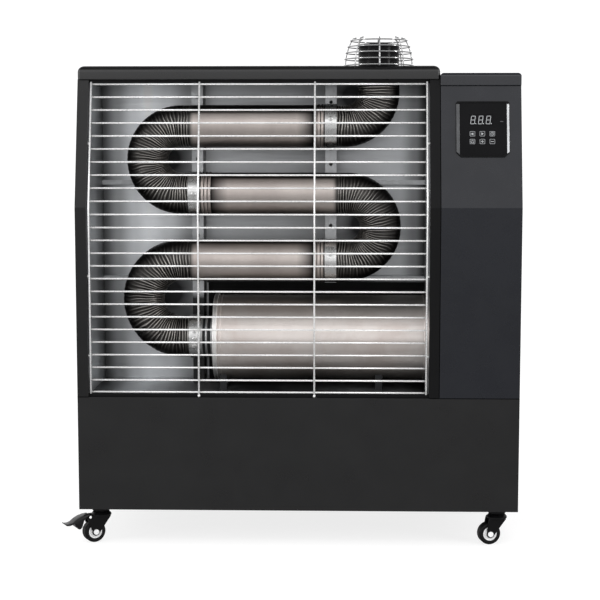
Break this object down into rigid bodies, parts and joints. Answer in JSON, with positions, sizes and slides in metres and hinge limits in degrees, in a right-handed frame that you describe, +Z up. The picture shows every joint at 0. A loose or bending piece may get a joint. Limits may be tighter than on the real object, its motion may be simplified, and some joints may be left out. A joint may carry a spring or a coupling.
{
  "type": "oil-fired infrared space heater",
  "caption": "Free-standing oil-fired infrared heater: sheet-metal cabinet with a wire guard over a pleated serpentine heat exchanger, top flue, touch controls and swivel casters.",
  "frame": {"origin": "on the floor, under the middle of the cabinet", "axes": "+Z up; -Y is the front with the wire guard and the controls; +X is the side of the control column"},
  "size_m": [0.8106, 0.4234, 0.867],
  "materials": {
    "cabinet_paint": "fine matt powder coat",
    "column_paint": "fine matt powder coat",
    "black_paint": "satin black paint",
    "reflector_sheet": "bright rolled sheet",
    "galvanised": "zinc coated sheet",
    "heated_stainless": "brushed stainless pipe, bronzed by heat at the pleats",
    "chamber_stainless": "brushed stainless sheet",
    "zinc_plate": "bright zinc plate",
    "flue_enamel": "gloss black enamel",
    "bright_wire": "bright plated wire",
    "bezel_plastic": "satin moulded plastic",
    "touch_glass": "gloss black touch panel",
    "circuit_board": "green circuit board",
    "cast_alloy": "die cast",
    "burner_steel": "turned steel",
    "motor_paint": "satin grey paint",
    "tank_paint": "satin grey paint",
    "copper": "bare copper pipe",
    "gauge_plastic": "clear and ivory plastic",
    "black_plastic": "moulded plastic",
    "wheel_rubber": "moulded rubber tread on a plastic hub"
  },
  "bodies": {
    "cabinet": {"base_front": "cabinet_paint", "base_left": "cabinet_paint", "base_right": "cabinet_paint", "base_rear": "cabinet_paint", "base_floor": "cabinet_paint", "left_panel": "cabinet_paint", "right_panel": "column_paint", "centre_post": "black_paint", "partition": "black_paint", "column_front": "column_paint", "rear_panel": "cabinet_paint", "rear_door": "cabinet_paint", "top_lid": "cabinet_paint", "column_cap": "column_paint", "reflector_back": "reflector_sheet", "reflector_sides": "reflector_sheet", "reflector_top": "reflector_sheet", "reflector_floor": "reflector_sheet", "opening_frame": "black_paint", "heat_shield": "black_paint", "tie_bars": "galvanised", "pipe_supports": "galvanised", "combustion_chamber": "chamber_stainless", "chamber_saddles": "galvanised", "pipe_flue_elbow": "heated_stainless", "pipe_upper_return": "heated_stainless", "pipe_right_return": "heated_stainless", "pipe_lower_return": "heated_stainless", "pipe_clamps": "zinc_plate", "screws": "zinc_plate", "flue_outlet": "flue_enamel", "flue_cage": "bright_wire", "guard_grille": "bright_wire", "control_bezel": "bezel_plastic", "touch_panel": "touch_glass", "display_board": "circuit_board", "blast_tube": "burner_steel", "burner_housing": "cast_alloy", "burner_motor": "motor_paint", "fuel_pump": "cast_alloy", "ignition_transformer": "motor_paint", "fuel_tank": "tank_paint", "fuel_line": "copper", "filler_recess": "black_paint", "fuel_gauge": "gauge_plastic", "power_inlet": "black_plastic", "caster_plates": "black_paint"},
    "caster_front_left": {"fork_front_left": "black_paint"},
    "roller_front_left": {"wheel_front_left": "wheel_rubber"},
    "brake_front_left": {"pedal_front_left": "black_plastic"},
    "caster_front_right": {"fork_front_right": "black_paint"},
    "roller_front_right": {"wheel_front_right": "wheel_rubber"},
    "caster_rear_left": {"fork_rear_left": "black_paint"},
    "roller_rear_left": {"wheel_rear_left": "wheel_rubber"},
    "caster_rear_right": {"fork_rear_right": "black_paint"},
    "roller_rear_right": {"wheel_rear_right": "wheel_rubber"},
    "brake_rear_right": {"pedal_rear_right": "black_plastic"},
    "rotor": {"fan_impeller": "cast_alloy", "drive_shaft": "burner_steel"},
    "filler_cap": {"fuel_cap": "black_plastic"}
  },
  "joints": [
    {"name": "swivel_front_left", "type": "hinge", "parent": "cabinet", "child": "caster_front_left", "pos_m": [-0.342, -0.17, 0.05], "axis": [0, 0, 1], "continuous": true},
    {"name": "roll_front_left", "type": "hinge", "parent": "caster_front_left", "child": "roller_front_left", "pos_m": [-0.35412, -0.177, 0.019], "axis": [0.5, -0.866, 0], "continuous": true},
    {"name": "press_front_left", "type": "hinge", "parent": "caster_front_left", "child": "brake_front_left", "pos_m": [-0.36279, -0.182, 0.046], "axis": [0.5, -0.866, 0], "range_deg": [0, 14]},
    {"name": "swivel_front_right", "type": "hinge", "parent": "cabinet", "child": "caster_front_right", "pos_m": [0.342, -0.17, 0.05], "axis": [0, 0, 1], "continuous": true},
    {"name": "roll_front_right", "type": "hinge", "parent": "caster_front_right", "child": "roller_front_right", "pos_m": [0.32831, -0.17291, 0.019], "axis": [0.2079, -0.9781, 0], "continuous": true},
    {"name": "swivel_rear_left", "type": "hinge", "parent": "cabinet", "child": "caster_rear_left", "pos_m": [-0.342, 0.17, 0.05], "axis": [0, 0, 1], "continuous": true},
    {"name": "roll_rear_left", "type": "hinge", "parent": "caster_rear_left", "child": "roller_rear_left", "pos_m": [-0.35569, 0.17291, 0.019], "axis": [-0.2079, -0.9781, 0], "continuous": true},
    {"name": "swivel_rear_right", "type": "hinge", "parent": "cabinet", "child": "caster_rear_right", "pos_m": [0.342, 0.17, 0.05], "axis": [0, 0, 1], "continuous": true},
    {"name": "roll_rear_right", "type": "hinge", "parent": "caster_rear_right", "child": "roller_rear_right", "pos_m": [0.35412, 0.177, 0.019], "axis": [-0.5, 0.866, 0], "continuous": true},
    {"name": "press_rear_right", "type": "hinge", "parent": "caster_rear_right", "child": "brake_rear_right", "pos_m": [0.36279, 0.182, 0.046], "axis": [-0.5, 0.866, 0], "range_deg": [0, 14]},
    {"name": "burner_spin", "type": "hinge", "parent": "cabinet", "child": "rotor", "pos_m": [0.308, -0.105, 0.35], "axis": [0, 1, 0], "continuous": true},
    {"name": "cap_turn", "type": "hinge", "parent": "cabinet", "child": "filler_cap", "pos_m": [-0.24, 0.141, 0.19], "axis": [0, 0, 1], "range_deg": [0, 90]}
  ]
}
